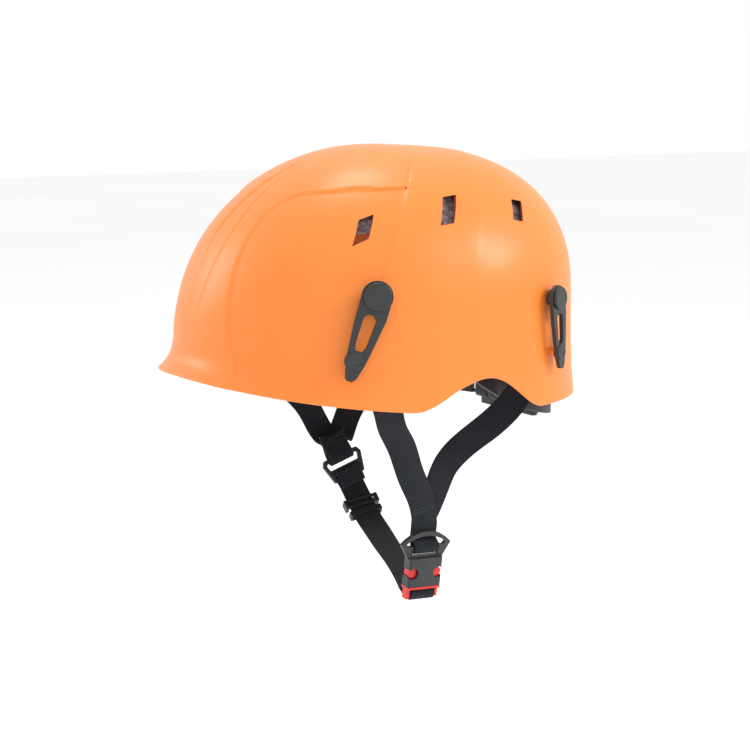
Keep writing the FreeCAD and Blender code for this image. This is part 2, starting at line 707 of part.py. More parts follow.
def build_knob(place):
    """The ribbed knob, modelled standing on its back, and the screw that holds it."""
    body = doc.addObject("PartDesign::Body", "Knob")
    disc = body.newObject("PartDesign::Pad", "KnobDisc")
    disc.Profile = knob_sketch(body, "KnobOutline", [("0", "Sizes.knob_width / 2")])
    disc.setExpression("Length", "Sizes.knob_wall")
    doc.recompute()
    groove = body.newObject("PartDesign::Pocket", "KnobGroove")
    groove.Profile = knob_sketch(body, "GrooveOutline", [("Sizes.knob_width / 2 + 0.6", "1.5")])
    groove.Type = "ThroughAll"
    groove.Midplane = True
    grips = body.newObject("PartDesign::PolarPattern", "KnobGrips")
    grips.Originals = [groove]
    axis = next(item for item in body.Origin.OriginFeatures if item.Role == "Z_Axis")
    grips.Axis = (axis, [""])
    grips.Angle = 360
    grips.setExpression("Occurrences", "Sizes.knob_grips")
    doc.recompute()
    for name, radius, low, high in (("KnobBore", 2.4, 0, 5), ("KnobScrewWay", 1.3, 0, 10),
                                    ("KnobRecess", 3.1, size("knob_wall") - 1.5, 10)):
        hole = body.newObject("PartDesign::SubtractiveCylinder", name)
        hole.Radius = radius
        hole.Height = high - low
        hole.Placement = at(0, 0, low)
        doc.recompute()
    body.Tip = hole
    back = size("adjuster_depth") + 6.6
    turned = place.multiply(at(0, back, 0, Rotation(Vector(1, 0, 0), -90)))
    keep(placed(body, turned), "adjuster_knob")
    head = rod("ScrewHead", "2.9", "Sizes.knob_wall - 1.5", "Sizes.knob_wall - 0.1")
    shank = rod("ScrewShank", "1.1", "1", "Sizes.knob_wall - 1.4")
    slot = block("ScrewSlot", ("-0.35", "0.35"), ("-2.5", "2.5"),
                 ("Sizes.knob_wall - 0.6", "Sizes.knob_wall + 0.4"))
    screw = cut("Screw", fuse("ScrewBody", [head, shank]), slot)
    keep(placed(screw, turned), "knob_screw")


# ---------------------------------------------------------------- buckle


BUCKLE = frame_from(Vector(54, 5.3, -137.8), Vector(0.142, 0.028, 0.989), Vector(0.989, 0, -0.142))
SOCKET_TOP, SOCKET_MOUTH = -6.0, -25.0
PRONG_UP, PRONG_SIDE, PRONG_HEAD = -16.0, 8.8, 3.2
PLUG_BAR = -31.0
PRONG_ROOT = -24.0


def build_socket():
    half, deep = size("socket_width") / 2, size("socket_wall") / 2
    body = Part.makeBox(2 * half, SOCKET_TOP - SOCKET_MOUTH, 2 * deep,
                        Vector(-half, SOCKET_MOUTH, -deep))
    body = body.makeFillet(1.6, [edge for edge in body.Edges
                                 if abs(edge.tangentAt(edge.FirstParameter).y) > 0.9])
    side = size("ring_width") / 2
    crown = Part.Arc(Vector(-side, 3, 0), Vector(0, 11, 0), Vector(side, 3, 0)).toShape()
    lines = Part.makePolygon([Vector(side, 3, 0), Vector(half - 1, -9, 0), Vector(1 - half, -9, 0),
                              Vector(-side, 3, 0)]).Edges
    ring = Part.Face(Part.Wire([crown, *lines])).extrude(Vector(0, 0, 3))
    ring.translate(Vector(0, 0, -1.5))
    arch = Part.Arc(Vector(-side + 3.6, 3.2, 0), Vector(0, 8, 0), Vector(side - 3.6, 3.2, 0)).toShape()
    upper = Part.makePolygon([Vector(side - 3.6, 3.2, 0), Vector(side - 5.2, 1.5, 0),
                              Vector(5.2 - side, 1.5, 0), Vector(3.6 - side, 3.2, 0)]).Edges
    upper = Part.Face(Part.Wire([arch, *upper])).extrude(Vector(0, 0, 6))
    upper.translate(Vector(0, 0, -3))
    room = size("webbing_width") / 2 + 0.5
    lower = Part.makeBox(2 * room, 3.7, 6, Vector(-room, -5.2, -3))
    cavity = Part.makeBox(19.2, 16, 5.8, Vector(-9.6, SOCKET_MOUTH - 0.1, -2.9))
    notches = [Part.makeCylinder(PRONG_HEAD + 0.5, 12, Vector(x * (PRONG_SIDE + 0.4), PRONG_UP, -6))
               for x in (1, -1)]
    shape = body.fuse(ring).cut([upper, lower, cavity, *notches]).removeSplitter()
    keep(feature("Socket", shape, BUCKLE), "buckle_socket")


def build_plug():
    flange = block("PlugFlange", ("-Sizes.flange_width / 2", "Sizes.flange_width / 2"),
                   ("-25.3 - Sizes.flange_wall", "-25.3"), ("-4.2", "4.2"))
    lugs = [block("PlugFrontLug", ("-11.7", "-9.4"), ("-33.4", "-26.6"), ("-2.6", "2.6")),
            block("PlugRearLug", ("9.4", "11.2"), ("-33", "-26.6"), ("-2.4", "2.4"))]
    bar = rod("PlugBar", "1.3", "-10", "10", (str(PLUG_BAR), "0"), "x")
    tongue = block("PlugTongue", ("-2", "2"), ("-25.6", "-10.4"), ("-2.4", "2.4"))
    plug = fuse("Plug", [flange, *lugs, bar, tongue])
    keep(placed(plug, BUCKLE), "buckle_plug")
    walls = ("-Sizes.prong_wall / 2", "Sizes.prong_wall / 2")
    for node, side in (("rear_prong", 1), ("front_prong", -1)):
        limits = sorted((5.9 * side, 8.1 * side))
        arm = block(f"{node}Arm", [str(limit) for limit in limits],
                    (str(PRONG_ROOT), str(PRONG_ROOT + 10.9)), walls)
        root = rod(f"{node}Root", "1.1", *walls, (str(7 * side), str(PRONG_ROOT)))
        head = rod(f"{node}Head", str(PRONG_HEAD), "-2.6", "2.6",
                   (str(PRONG_SIDE * side), str(PRONG_UP)))
        limits = sorted((-0.1 * side, 5.9 * side))
        inner = block(f"{node}Inner", [str(limit) for limit in limits], ("-22", "-10"), ("-4", "4"))
        prong = fuse(node, [arm, root, cut(f"{node}Face", head, inner)])
        keep(placed(prong, BUCKLE), node)


# ---------------------------------------------------------------- strap fittings and webbing


GUIDE = frame_from(Vector(-65.5, 13.5, -105), Vector(-0.3, -0.31, 0.9), Vector(-0.95, 0.1, -0.28))
GUIDE_TOP, GUIDE_FOOT = 6.0, -2.0


def build_guide():
    """A ring in the shape of a trapezium, webbing round its top bar and its middle bar."""
    outer = [Vector(-15, 4), Vector(-13, 7.5), Vector(13, 7.5), Vector(15, 4),
             Vector(11.6, -9.5), Vector(-11.6, -9.5)]
    inner = [Vector(-12.4, 3.4), Vector(-11.6, 4.5), Vector(11.6, 4.5), Vector(12.4, 3.4),
             Vector(9.6, -6.5), Vector(-9.6, -6.5)]
    faces = []
    for outline in (outer, inner):
        wire = Part.makePolygon([*outline, outline[0]])
        wire.translate(Vector(0, 0, -1.5))
        faces.append(Part.Face(wire).extrude(Vector(0, 0, 3)))
    bar = Part.makeBox(24, 3, 3, Vector(-12, GUIDE_FOOT - 1.5, -1.5))
    keep(feature("Guide", faces[0].cut(faces[1]).fuse(bar), GUIDE), "right_strap_guide")


LEFT_FRONT_ROUTE = [Vector(83, -49, -20), Vector(78, -35.5, -44.6), Vector(73, -29.8, -55.4),
                    Vector(68, -21.2, -66.7), Vector(60.5, -8.8, -89.4), Vector(56, 1.3, -107)]
LEFT_REAR_ROUTE = [Vector(53, 10.5, -109.5), Vector(55.5, 13.4, -99.2), Vector(59.5, 16.7, -86),
                   Vector(64, 29.4, -71.4), Vector(72.1, 38.4, -61.5), Vector(80.9, 53.7, -43.9)]
# How far along that strap its face turns fully outwards, and its across direction there.
LEFT_REAR_TWIST = (0.66, Vector(0.406, 0.558, -0.703))
RIGHT_FRONT_ROUTE = [Vector(-86, -42, -22), Vector(-86, -22, -48), Vector(-84, -3.6, -67.7),
                     Vector(-77, 6.2, -87)]
RIGHT_REAR_ROUTE = [Vector(-75.5, 13.5, -89.5), Vector(-82, 26, -74), Vector(-85, 44, -55),
                    Vector(-84, 62, -35)]
CHIN_ROUTE = [Vector(-61.5, 17.0, -117.6), Vector(-52, 18.7, -129), Vector(-43, 19, -136.9),
              Vector(-30, 18.5, -143.9), Vector(-14, 16.1, -150), Vector(5, 13.3, -156.5),
              Vector(24, 9.6, -163.4)]


LOOP = 3.0


def build_straps():
    buckle_outer = [(14, -2.7), (10, -2.7), (6.8, -2.75), (5.3, -2.2), (3.85, 0), (2.95, 1.6),
                    *arc(0, 0, LOOP, 45, 270, 13), (2.2, -3.5), (5.5, -4.45), (9, -4.6),
                    (13.8, -4.6)]
    front = local_path(CLIPS["front"], ANCHOR_LOOP)
    ring = local_path(BUCKLE, buckle_outer)
    path = front + span(front, LEFT_FRONT_ROUTE, ring, 24) + ring
    keep(feature("LeftFrontStrap", webbing(path)), "left_front_strap")
    start = local_path(BUCKLE, [(14.1, -4.6), (18, -4.6)])
    rear = local_path(CLIPS["rear"], ANCHOR_LOOP)[::-1]
    path = start + span(start, LEFT_REAR_ROUTE, rear, 24, LEFT_REAR_TWIST) + rear
    keep(feature("LeftRearStrap", webbing(path)), "left_rear_strap")
    guide_outer = [(18, 0.95), (14, 1.3), (9.5, 2.6), *arc(GUIDE_TOP, 0, LOOP, 90, 270, 11),
                   (9.5, -2.6), (14, -1.3), (17.8, -0.95)]
    front = local_path(CLIPS["front"], ANCHOR_LOOP, mirror=True)
    ring = [(point, across * -1) for point, across in local_path(GUIDE, guide_outer)]
    path = front + span(front, RIGHT_FRONT_ROUTE, ring, 24) + ring
    keep(feature("RightFrontStrap", webbing(path)), "right_front_strap")
    start = [(point, across * -1) for point, across in local_path(GUIDE, [(18.1, -0.95), (21, -0.95)])]
    rear = local_path(CLIPS["rear"], ANCHOR_LOOP, mirror=True)[::-1]
    path = start + span(start, RIGHT_REAR_ROUTE, rear, 24) + rear
    keep(feature("RightRearStrap", webbing(path)), "right_rear_strap")
    build_chin_strap()


SLIDE_AT, KEEPER_AT = 9.5, 18.5


def build_chin_strap():
    """From the guide's lower bar to the plug's bar, doubled back a little at both ends."""
    tail = [(-14.5, -2.6), (-12, -3.0), (-7, -3.0), *arc(GUIDE_FOOT, 0, LOOP, 270, 90, 11),
            (-7, 3.0), (-11, 2.9), (-14, 1.9)]
    guide = [(point, across * -1) for point, across in local_path(GUIDE, tail)]
    turn = [(-32.0, -8.5), (-33.6, -3.8), *arc(PLUG_BAR, 0, LOOP, 200, 0, 14),
            (-28.2, -2.8), (-28.4, -6), (-28.2, -11)]
    plug = local_path(BUCKLE, turn)
    path = guide + span(guide, CHIN_ROUTE[1:], plug, 30) + plug
    keep(feature("ChinStrap", webbing(path)), "chin_strap")
    build_fittings(path, len(guide))


def fitting_place(path, start, distance):
    """Where a fitting sits on webbing, a distance past the path's start entry."""
    travelled, k = 0.0, start
    while travelled < distance:
        travelled += (path[k + 1][0] - path[k][0]).Length
        k += 1
    along = unit(path[k + 1][0] - path[k - 1][0])
    return frame_from(path[k][0], along * -1, path[k][1].cross(along * -1))


def build_fittings(path, start):
    """The slide that sets the strap's length and the keeper for its loose end."""
    place = fitting_place(path, start, SLIDE_AT)
    room, out = "Sizes.webbing_width / 2 + 0.8", "Sizes.fitting_width / 2"
    half = "Sizes.slide_long / 2"
    rails = [block("SlideFrontRail", (f"-{out}", f"-({room})"), (f"-{half}", half), ("-3.2", "3.2")),
             block("SlideRearRail", (room, out), (f"-{half}", half), ("-3.2", "3.2"))]
    bars = [block("SlideLowBar", (f"-{out}", out), (f"-{half}", f"1.8 - {half}"), ("1.4", "3.2")),
            block("SlideHighBar", (f"-{out}", out), (f"{half} - 1.8", half), ("1.4", "3.2")),
            block("SlideBackBar", (f"-{out}", out), ("-1", "1"), ("-3.2", "-1.4"))]
    keep(placed(fuse("Slide", rails + bars), place), "strap_slide")
    place = fitting_place(path, start, KEEPER_AT)
    half = "Sizes.keeper_long / 2"
    loop = block("KeeperBlock", (f"0.8 - {out}", f"{out} - 0.8"), (f"-{half}", half), ("-3", "3"))
    window = block("KeeperWindow", (f"-({room})", room), (f"-{half} - 1", f"{half} + 1"),
                   ("-1.6", "1.6"))
    keep(placed(cut("Keeper", loop, window), place), "strap_keeper")


# ---------------------------------------------------------------- the document


def export():
    doc.recompute()
    for item in doc.Objects:
        if "Invalid" in item.State or "Error" in item.State:
            raise RuntimeError(f"{item.Label} is {item.State}")
    for item in nodes:
        if item.Shape.isNull() or not item.Shape.isValid():
            raise RuntimeError(f"{item.Label} has no valid shape")
    os.makedirs("parts", exist_ok=True)
    for item in nodes:
        item.Shape.exportStep(f"parts/{item.Label}.step")
    print(len(nodes), "sub-parts written")


build_shell()
build_liner()
build_crown_pad()
build_clips()
build_headband()
build_arms()
build_adjuster()
build_socket()
build_plug()
build_guide()
build_straps()
export()
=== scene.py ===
"""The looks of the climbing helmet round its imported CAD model. Lengths here are millimetres in the
CAD frame (+Z up, -Y front, +X the wearer's left); meshes are written out in metres."""

import math

import bmesh
import bpy
import numpy as np
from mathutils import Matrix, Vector
from mathutils.bvhtree import BVHTree


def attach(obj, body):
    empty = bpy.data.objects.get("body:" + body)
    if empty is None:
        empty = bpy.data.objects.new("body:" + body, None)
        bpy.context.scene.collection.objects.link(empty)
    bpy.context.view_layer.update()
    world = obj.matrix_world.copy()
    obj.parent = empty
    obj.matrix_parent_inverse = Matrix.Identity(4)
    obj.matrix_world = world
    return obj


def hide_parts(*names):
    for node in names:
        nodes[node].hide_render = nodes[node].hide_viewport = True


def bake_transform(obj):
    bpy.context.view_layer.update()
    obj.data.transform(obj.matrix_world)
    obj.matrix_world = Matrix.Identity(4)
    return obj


MM = 0.001
CROWN = 115.0
WALL = 2.5
DOME_SQUARENESS = 2.2
CLIP_REACH = 40.6
CLIP_FACE = 8.5
PAD_VOXEL = 0.004
CLOTH_STEPS = 20
FLOOR_HEIGHT = -0.34
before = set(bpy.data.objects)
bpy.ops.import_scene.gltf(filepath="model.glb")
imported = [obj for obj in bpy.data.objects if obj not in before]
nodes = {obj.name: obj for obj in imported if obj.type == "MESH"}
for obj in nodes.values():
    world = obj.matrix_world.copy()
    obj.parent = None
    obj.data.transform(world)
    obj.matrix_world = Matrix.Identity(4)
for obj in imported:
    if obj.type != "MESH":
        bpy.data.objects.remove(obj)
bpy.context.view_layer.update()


# ---------------------------------------------------------------- small maths


def smooth(share):
    share = np.clip(share, 0, 1)
    return share * share * (3 - 2 * share)


def mix(low, high, share):
    return low + (high - low) * share


def signed_power(value, power):
    return np.sign(value) * np.abs(value) ** power


def unit(vectors):
    return vectors / np.linalg.norm(vectors, axis=-1, keepdims=True)


def spline(points, count=None, step=None, power=1.0):
    """Points on a natural cubic spline through points, and their parameters in index units."""
    points = np.asarray(points, float)
    gaps = np.linalg.norm(np.diff(points, axis=0), axis=1) ** power
    knots = np.concatenate([[0], np.cumsum(gaps)])
    size = len(points)
    matrix, right = np.eye(size), np.zeros((size, points.shape[1]))
    for k in range(1, size - 1):
        a, b = gaps[k - 1], gaps[k]
        matrix[k, k - 1:k + 2] = a, 2 * (a + b), b
        right[k] = 6 * ((points[k + 1] - points[k]) / b - (points[k] - points[k - 1]) / a)
    bend = np.linalg.solve(matrix, right)
    fine = np.linspace(0, knots[-1], count or 40 * size)

    def value(at):
        k = np.clip(np.searchsorted(knots, at, side="right") - 1, 0, size - 2)
        gap = gaps[k][:, None]
        left, other = (at - knots[k])[:, None], (knots[k + 1] - at)[:, None]
        return (bend[k] * other ** 3 + bend[k + 1] * left ** 3) / (6 * gap) + \
            (points[k] / gap - bend[k] * gap / 6) * other + \
            (points[k + 1] / gap - bend[k + 1] * gap / 6) * left

    placed = value(fine)
    if step:
        length = np.concatenate([[0], np.cumsum(np.linalg.norm(np.diff(placed, axis=0), axis=1))])
        fine = np.interp(np.linspace(0, length[-1], int(length[-1] / step) + 2), length, fine)
        placed = value(fine)
    return placed, np.interp(fine, knots, np.arange(size))


# ---------------------------------------------------------------- materials


class Shade:
    """A node material with a Principled shader; add() makes a node and links what it is given."""

    def __init__(self, name, **constants):
        self.material = bpy.data.materials.new(name)
        self.material.use_nodes = True
        self.tree = self.material.node_tree
        self.tree.nodes.clear()
        self.shader = self.tree.nodes.new("ShaderNodeBsdfPrincipled")
        output = self.tree.nodes.new("ShaderNodeOutputMaterial")
        self.tree.links.new(self.shader.outputs["BSDF"], output.inputs["Surface"])
        for key, value in constants.items():
            self.shader.inputs[key.replace("_", " ")].default_value = value
        self.place = self.tree.nodes.new("ShaderNodeTexCoord")

    def add(self, kind, inputs=(), out=0, **settings):
        node = self.tree.nodes.new("ShaderNode" + kind)
        for key, value in settings.items():
            setattr(node, key, value)
        for key, value in dict(inputs).items():
            if isinstance(value, bpy.types.NodeSocket):
                self.tree.links.new(value, node.inputs[key])
            else:
                node.inputs[key].default_value = value
        return node.outputs[out]

    def noise(self, scale, detail=3.0, rough=0.5):
        return self.add("TexNoise", {"Vector": self.place.outputs["Object"], "Scale": scale,
                                     "Detail": detail, "Roughness": rough})

    def sums(self, operation, a, b=0.0, c=0.0):
        return self.add("Math", {0: a, 1: b, 2: c}, operation=operation)

    def ramp(self, fac, stops):
        node = self.tree.nodes.new("ShaderNodeValToRGB")
        self.tree.links.new(fac, node.inputs["Fac"])
        ramp = node.color_ramp
        while len(ramp.elements) < len(stops):
            ramp.elements.new(0.5)
        for element, (position, colour) in zip(ramp.elements, stops):
            element.position = position
            element.color = (*colour, 1)
        return node.outputs["Color"]

    def levels(self, fac, low, high):
        return self.add("MapRange", {"Value": fac, "To Min": low, "To Max": high})

    def colour(self, socket):
        self.tree.links.new(socket, self.shader.inputs["Base Color"])

    def roughness(self, socket):
        self.tree.links.new(socket, self.shader.inputs["Roughness"])

    def bump(self, height, distance, strength):
        normal = self.add("Bump", {"Height": height, "Distance": distance, "Strength": strength})
        self.tree.links.new(normal, self.shader.inputs["Normal"])


def shell_material():
    s = Shade("shell_orange", Coat_Weight=0.12, Coat_Roughness=0.22, Specular_IOR_Level=0.42)
    broad = s.noise(7.0, 2.0)
    s.colour(s.ramp(broad, [(0.25, (0.94, 0.232, 0.030)), (0.75, (0.94, 0.255, 0.038))]))
    s.roughness(s.levels(s.noise(60.0, 4.0), 0.36, 0.47))
    s.bump(s.sums("ADD", s.noise(900.0, 2.0), s.noise(160.0, 2.0)), 0.00004, 0.5)
    return s.material


def wall_material(name, dark, light):
    s = Shade(name, Specular_IOR_Level=0.4)
    s.colour(s.ramp(s.noise(30.0), [(0.3, dark), (0.7, light)]))
    s.roughness(s.levels(s.noise(200.0), 0.5, 0.62))
    s.bump(s.noise(700.0), 0.00006, 0.6)
    return s.material


def foam_material():
    s = Shade("foam_beads", Specular_IOR_Level=0.25)
    cells = s.add("TexVoronoi", {"Vector": s.place.outputs["Object"], "Scale": 330.0}, out=1)
    tone = s.add("SeparateColor", {"Color": cells})
    near = s.add("TexVoronoi", {"Vector": s.place.outputs["Object"], "Scale": 330.0})
    # The beads' grey is the foam's own colour; their mauve tint is painted orange light bounced from
    # the shell.
    base = s.ramp(tone, [(0.1, (0.17, 0.125, 0.135)), (0.9, (0.40, 0.31, 0.32))])
    # Each bead is lighter at its middle and darker towards its edge, following the bump: painted
    # shade in the crevices between beads.
    bead_crevice_shade = s.ramp(near, [(0.0, (1, 1, 1)), (0.75, (0.45, 0.42, 0.44))])
    mixed = s.add("Mix", {0: 0.8, 6: base, 7: bead_crevice_shade}, out=2, data_type="RGBA", blend_type="MULTIPLY")
    s.colour(mixed)
    s.roughness(s.levels(s.noise(500.0), 0.75, 0.95))
    s.bump(s.sums("SUBTRACT", 1.0, near), 0.0006, 0.8)
    return s.material


def plastic(name, dark, light, low, high):
    s = Shade(name, Specular_IOR_Level=0.45)
    s.colour(s.ramp(s.noise(40.0, 5.0), [(0.3, dark), (0.7, light)]))
    scratches = s.add("TexNoise", {"Vector": s.add("Mapping", {
        "Vector": s.place.outputs["Object"], "Scale": (60.0, 900.0, 240.0)}), "Scale": 3.0})
    s.roughness(s.levels(s.sums("MULTIPLY", s.noise(120.0), scratches), low, high))
    s.bump(s.noise(1500.0, 3.0, 0.6), 0.00005, 0.7)
    return s.material


def webbing_material(name, dark, light):
    """Woven tape: U runs along it and V across it, both in millimetres."""
    s = Shade(name, Specular_IOR_Level=0.3, Sheen_Weight=0.06, Sheen_Roughness=0.45)
    split = s.tree.nodes.new("ShaderNodeSeparateXYZ")
    s.tree.links.new(s.place.outputs["UV"], split.inputs[0])
    along, across = split.outputs[0], split.outputs[1]
    bent = s.sums("ABSOLUTE", across)
    slant = s.sums("MULTIPLY_ADD", bent, 0.55, along)
    weft = s.sums("SINE", s.sums("MULTIPLY", slant, 2 * math.pi / 1.25))
    warp = s.sums("SINE", s.sums("MULTIPLY", across, 2 * math.pi / 0.75))
    yarn = s.sums("MULTIPLY_ADD", warp, 0.45, weft)
    fuzz = s.noise(2600.0, 3.0)
    height = s.sums("MULTIPLY_ADD", fuzz, 0.5, yarn)
    # Raised yarns are coloured lighter and hollows darker, following the weave's height: painted
    # light and shade, also on the stitch thread.
    lit = s.sums("MULTIPLY_ADD", height, 0.28, 0.4)
    s.colour(s.ramp(lit, [(0.1, dark), (0.9, light)]))
    s.roughness(s.levels(fuzz, 0.62, 0.8))
    s.bump(height, 0.00022, 0.75)
    return s.material


def knit_material():
    s = Shade("pad_knit", Specular_IOR_Level=0.2, Sheen_Weight=0.3, Sheen_Roughness=0.5)
    near = s.add("TexVoronoi", {"Vector": s.place.outputs["Object"], "Scale": 620.0,
                                "Randomness": 0.25})
    # Each knit cell is lighter at its middle and darker at its edge, following the bump: painted
    # shade in the hollows between the loops.
    s.colour(s.ramp(near, [(0.1, (0.030, 0.031, 0.034)), (0.6, (0.010, 0.010, 0.012))]))
    s.roughness(s.levels(s.noise(300.0), 0.8, 0.95))
    s.bump(s.sums("SUBTRACT", 1.0, near), 0.0004, 0.8)
    return s.material


def steel_material():
    s = Shade("screw_steel", Metallic=1.0)
    s.colour(s.ramp(s.noise(150.0), [(0.3, (0.50, 0.50, 0.52)), (0.7, (0.66, 0.66, 0.68))]))
    s.roughness(s.levels(s.noise(900.0), 0.28, 0.42))
    s.bump(s.noise(2200.0), 0.00003, 0.4)
    return s.material


def floor_material():
    s = Shade("studio_floor")
    s.colour(s.ramp(s.noise(2.0), [(0.3, (0.93, 0.93, 0.93)), (0.7, (0.96, 0.96, 0.96))]))
    s.roughness(s.levels(s.noise(20.0), 0.75, 0.85))
    return s.material


ORANGE = shell_material()
# The shell's inner face is coloured a darker, deeper orange than the outside: painted shade inside
# the shell.
INSIDE = wall_material("shell_inside_painted_shade", (0.60, 0.12, 0.020), (0.74, 0.165, 0.030))
# The walls cut through the shell at the vents are coloured dark red: painted shade inside the vent
# openings.
CUT = wall_material("vent_wall_painted_shade", (0.30, 0.040, 0.016), (0.40, 0.060, 0.022))
FOAM = foam_material()
WEB = webbing_material("webbing_weave", (0.0028, 0.0038, 0.006), (0.0115, 0.0165, 0.025))
THREAD = webbing_material("stitch_thread", (0.02, 0.026, 0.036), (0.06, 0.07, 0.085))
KNIT = knit_material()
BLACK = plastic("black_plastic", (0.011, 0.012, 0.013), (0.018, 0.019, 0.020), 0.40, 0.62)
CLIP = plastic("clip_plastic", (0.024, 0.027, 0.028), (0.034, 0.037, 0.038), 0.36, 0.58)
GREY = plastic("grey_plastic", (0.24, 0.24, 0.25), (0.33, 0.33, 0.34), 0.38, 0.55)
RED = plastic("red_plastic", (0.66, 0.022, 0.012), (0.80, 0.035, 0.020), 0.26, 0.42)
STEEL = steel_material()


# ---------------------------------------------------------------- mesh helpers


def mesh_object(name, points, faces, material, sharp=None):
    """An object from points in millimetres."""
    mesh = bpy.data.meshes.new(name)
    mesh.from_pydata((np.asarray(points, float) * MM).tolist(), [], faces)
    mesh.validate()
    mesh.update()
    mesh.shade_smooth()
    if sharp:
        mesh.set_sharp_from_angle(angle=math.radians(sharp))
    mesh.materials.append(material)
    item = bpy.data.objects.new(name, mesh)
    bpy.context.scene.collection.objects.link(item)
    return item


def grid_faces(rows, columns):
    """Quads between rings of points, each ring closed on itself."""
    faces = []
    for r in range(rows - 1):
        for c in range(columns):
            d = (c + 1) % columns
            faces.append((r * columns + c, r * columns + d, (r + 1) * columns + d,
                          (r + 1) * columns + c))
    return faces


def apply_modifiers(item):
    graph = bpy.context.evaluated_depsgraph_get()
    mesh = bpy.data.meshes.new_from_object(item.evaluated_get(graph))
    item.modifiers.clear()
    item.data = mesh


def tube(points, radius, sides=8):
    """Points and faces of a round tube along a closed line."""
    points = np.asarray(points, float)
    along = unit(np.roll(points, -1, 0) - np.roll(points, 1, 0))
    seed = np.array([0.31, 0.17, 0.93])
    first = unit(np.cross(along, seed))
    second = np.cross(along, first)
    angles = np.linspace(0, 2 * math.pi, sides, endpoint=False)
    rings = points[:, None] + radius * (first[:, None] * np.cos(angles)[None, :, None]
                                        + second[:, None] * np.sin(angles)[None, :, None])
    count = len(points)
    faces = grid_faces(count, sides)
    for c in range(sides):
        d = (c + 1) % sides
        faces.append(((count - 1) * sides + c, (count - 1) * sides + d, d, c))
    return rings.reshape(-1, 3), faces


def gather(parts):
    """Joins (points, faces) pairs."""
    points, faces, start = [], [], 0
    for more, shapes in parts:
        points.append(more)
        faces += [tuple(index + start for index in face) for face in shapes]
        start += len(more)
    return np.concatenate(points), faces


def capsule(centre, along, outward, long, wide, thick):
    """A long rounded bead, such as one stitch."""
    rings, sides = 5, 8
    along, outward = unit(np.array(along)), unit(np.array(outward))
    side = np.cross(along, outward)
    points = []
    for k in range(rings):
        angle = math.pi * (k + 0.5) / rings
        for c in range(sides):
            turn = 2 * math.pi * c / sides
            points.append(np.array(centre) - along * math.cos(angle) * long / 2
                          + math.sin(angle) * (side * math.cos(turn) * wide / 2
                                               + outward * math.sin(turn) * thick / 2))
    faces = grid_faces(rings, sides)
    faces.append(tuple(range(sides))[::-1])
    faces.append(tuple(range((rings - 1) * sides, rings * sides)))
    return np.array(points), faces


class Place:
    """A fitting's frame: X across, Y up and Z outward."""

    def __init__(self, origin, x, y, z):
        self.origin = np.array(origin)
        self.axes = np.array([x, y, z])

    def point(self, x, y, z):
        return self.origin + np.array([x, y, z]) @ self.axes

    def points(self, values):
        return self.origin + np.asarray(values, float) @ self.axes


FRONT = Place((96.0827, -54.7897, 30.4), (0.39684, 0.85650, -0.33003),
              (0.04072, 0.34277, 0.93854), (0.91698, -0.38589, 0.10115))
REAR = Place((93.9555, 71.1772, 22.0), (-0.44091, 0.89515, 0.06566),
             (0.00247, -0.07195, 0.99741), (0.89755, 0.43992, 0.02951))
CLIP_SCALES = {"front": 1.0, "rear": 0.84}
BUCKLE = Place((54, 5.3, -137.8), (-0.00398, 0.99961, -0.02773),
               (0.14207, 0.02801, 0.98946), (0.98985, 0, -0.14212))
GUIDE = Place((-65.5, 13.5, -105), (-0.00322, -0.94515, -0.32662),
              (-0.30059, -0.31061, 0.90176), (-0.95375, 0.10108, -0.28310))


# ---------------------------------------------------------------- the shell


def rim_height(turn):
    degrees = np.abs(np.degrees(turn)) % 360
    degrees = np.minimum(degrees, 360 - degrees)
    offset = (degrees - 97) / 20
    arch = np.where(np.abs(offset) < 1, 10.5 * (1 + np.cos(np.pi * offset)), 0)
    return -23 - 22 * smooth(degrees / 110) + arch


def equator_height(turn):
    return mix(20.0, -6.0, ((1 + np.cos(turn)) / 2) ** 1.5)


def outline(turn):
    along, across = np.cos(turn), np.sin(turn)
    length = np.where(along > 0, 132.0, 128.5)
    power = 2 / DOME_SQUARENESS
    return (107 * signed_power(across, power) * (1 - 0.03 * along),
            -length * signed_power(along, power))


def dome_point(turn, reach):
    ahead = (1 + np.cos(turn)) / 2
    x, y = outline(turn)
    side = mix(mix(2.6, 2.0, ahead), 2.12, np.sin(turn) ** 2)
    near = smooth(reach / 0.3)
    side = mix(DOME_SQUARENESS, side, near)
    base = equator_height(turn) * near
    arm = np.sin(reach * np.pi / 2)
    rise = np.maximum(0, 1 - arm ** side) ** (1 / side)
    return np.stack([x * arm, y * arm, base + (CROWN - base) * rise], -1)


def skirt_point(turn, height):
    ahead = (1 + np.cos(turn)) / 2
    x, y = outline(turn)
    equator = equator_height(turn)
    depth = np.maximum(0, equator - height)
    share = np.minimum(1.15, depth / (equator - rim_height(turn)))
    flare = 9 * np.maximum(0, np.cos(turn)) * share ** 3
    flare = flare + 2.5 * np.maximum(0, -np.cos(turn)) * share ** 4
    radius = np.hypot(x, y)
    arm = 1 + flare / radius + 0.13 * depth / radius * ahead
    return np.stack([x * arm, y * arm, height], -1)


def step(distance, width):
    """0 to 1 across an edge of that width."""
    return smooth(distance / width + 0.5)


